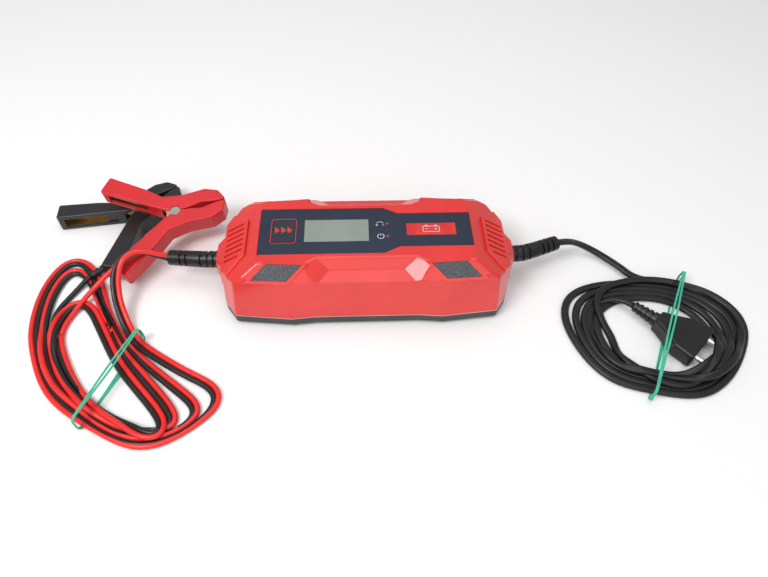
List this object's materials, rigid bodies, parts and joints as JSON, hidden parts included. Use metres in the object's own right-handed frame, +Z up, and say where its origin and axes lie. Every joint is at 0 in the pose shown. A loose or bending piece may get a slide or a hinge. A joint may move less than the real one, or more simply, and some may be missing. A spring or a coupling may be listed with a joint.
{
  "type": "car battery charger",
  "caption": "Handheld car battery charger with a faceted red housing, a display panel, a coiled mains lead with plug, and an output lead with two spring clamps.",
  "frame": {"origin": "centre of the housing's footprint, on the surface the feet stand on", "axes": "+X along the housing towards the mains lead, +Y to the housing's rear side, +Z up out of the display panel"},
  "size_m": [0.4927, 0.2234, 0.0493],
  "materials": {
    "red_abs": "glossy red ABS, faint moulding texture",
    "charcoal_abs": "fine-textured charcoal ABS",
    "gasket_silicone": "translucent pale silicone",
    "screw_steel": "zinc plated steel",
    "foot_rubber": "soft black rubber",
    "navy_overlay": "satin printed polycarbonate film",
    "display_acrylic": "clear acrylic over grey-green glass",
    "lcd": "grey-green liquid crystal glass",
    "white_holder": "white reflector plastic",
    "circuit_green": "green solder mask",
    "switch_black": "black nylon",
    "clear_pipe": "clear red acrylic",
    "grip_texture": "pebbled dark grey with fine sparkle",
    "ferrite": "dark grey ferrite",
    "copper_winding": "amber tape over enamelled copper",
    "capacitor_sleeve": "dark sleeve with aluminium top",
    "aluminium_sink": "extruded aluminium",
    "chip_black": "black epoxy",
    "relay_blue": "blue relay case",
    "fuse_glass": "glass tube in metal clips",
    "choke_core": "enamelled copper on a ferrite ring",
    "black_pvc": "black PVC, soft gloss",
    "twin_pvc": "red and black PVC, glossy",
    "red_pvc": "red PVC, glossy",
    "band_green": "mint green rubber",
    "pin_nickel": "nickel plated brass with black sleeves",
    "clamp_vinyl_red": "satin dipped red vinyl",
    "clamp_vinyl_black": "satin dipped black vinyl",
    "clamp_brass": "brass plated spring steel",
    "rivet_steel": "plated steel",
    "wire_mixed": "insulated copper cores"
  },
  "bodies": {
    "charger": {"base_shell": "charcoal_abs", "black_clamp_boot": "black_pvc", "black_clamp_cable_cover": "clamp_vinyl_black", "black_clamp_cable_plate": "clamp_brass", "black_clamp_rivet": "rivet_steel", "black_clamp_spring": "rivet_steel", "black_clamp_wire": "black_pvc", "board_screws": "screw_steel", "case_screws": "screw_steel", "circuit_board": "circuit_green", "control_chip": "chip_black", "display_board": "circuit_green", "display_window": "display_acrylic", "front_left_grip_pad": "grip_texture", "front_right_grip_pad": "grip_texture", "fuse": "fuse_glass", "heat_sink": "aluminium_sink", "indicator_leds": "clear_pipe", "input_capacitor": "capacitor_sleeve", "lcd_glass": "lcd", "lcd_holder": "white_holder", "light_pipes": "clear_pipe", "line_filter_choke": "choke_core", "mains_coil": "black_pvc", "mains_coil_band": "band_green", "mains_inner_wires": "wire_mixed", "mains_lead": "black_pvc", "mains_strain_relief": "black_pvc", "mode_switch": "switch_black", "output_capacitors": "capacitor_sleeve", "output_coil": "twin_pvc", "output_coil_band": "band_green", "output_inner_wires": "wire_mixed", "output_lead": "twin_pvc", "output_strain_relief": "black_pvc", "panel_overlay": "navy_overlay", "plug_body": "black_pvc", "plug_pins": "pin_nickel", "plug_sleeve": "black_pvc", "power_transistors": "chip_black", "rear_left_grip_pad": "grip_texture", "rear_right_grip_pad": "grip_texture", "red_clamp_boot": "red_pvc", "red_clamp_cable_cover": "clamp_vinyl_red", "red_clamp_cable_plate": "clamp_brass", "red_clamp_rivet": "rivet_steel", "red_clamp_spring": "rivet_steel", "red_clamp_wire": "red_pvc", "relay": "relay_blue", "rubber_feet": "foot_rubber", "shell_gasket": "gasket_silicone", "top_shell": "red_abs", "transformer_core": "ferrite", "transformer_winding": "copper_winding"},
    "mode_key": {"mode_button": "navy_overlay", "switch_plunger": "switch_black"},
    "red_free_arm": {"red_clamp_free_cover": "clamp_vinyl_red", "red_clamp_free_plate": "clamp_brass"},
    "black_free_arm": {"black_clamp_free_cover": "clamp_vinyl_black", "black_clamp_free_plate": "clamp_brass"}
  },
  "joints": [
    {"name": "mode_button_press", "type": "slide", "parent": "charger", "child": "mode_key", "axis": [0, 0, -1], "range_m": [0, 0.0008], "stiffness_N_per_m": 300, "springref_m": -0.002},
    {"name": "red_clamp_open", "type": "hinge", "parent": "charger", "child": "red_free_arm", "pos_m": [-0.1375, 0.042, 0.0238], "axis": [0, -0.1959, 0.9806], "range_deg": [0, 28], "stiffness_Nm_per_rad": 0.35, "springref_deg": -68.75, "deforming": ["red_clamp_spring"]},
    {"name": "black_clamp_open", "type": "hinge", "parent": "charger", "child": "black_free_arm", "pos_m": [-0.1736, 0.0618, 0.0068], "axis": [0, 0, 1], "range_deg": [0, 28], "stiffness_Nm_per_rad": 0.35, "springref_deg": -68.75, "deforming": ["black_clamp_spring"]}
  ]
}
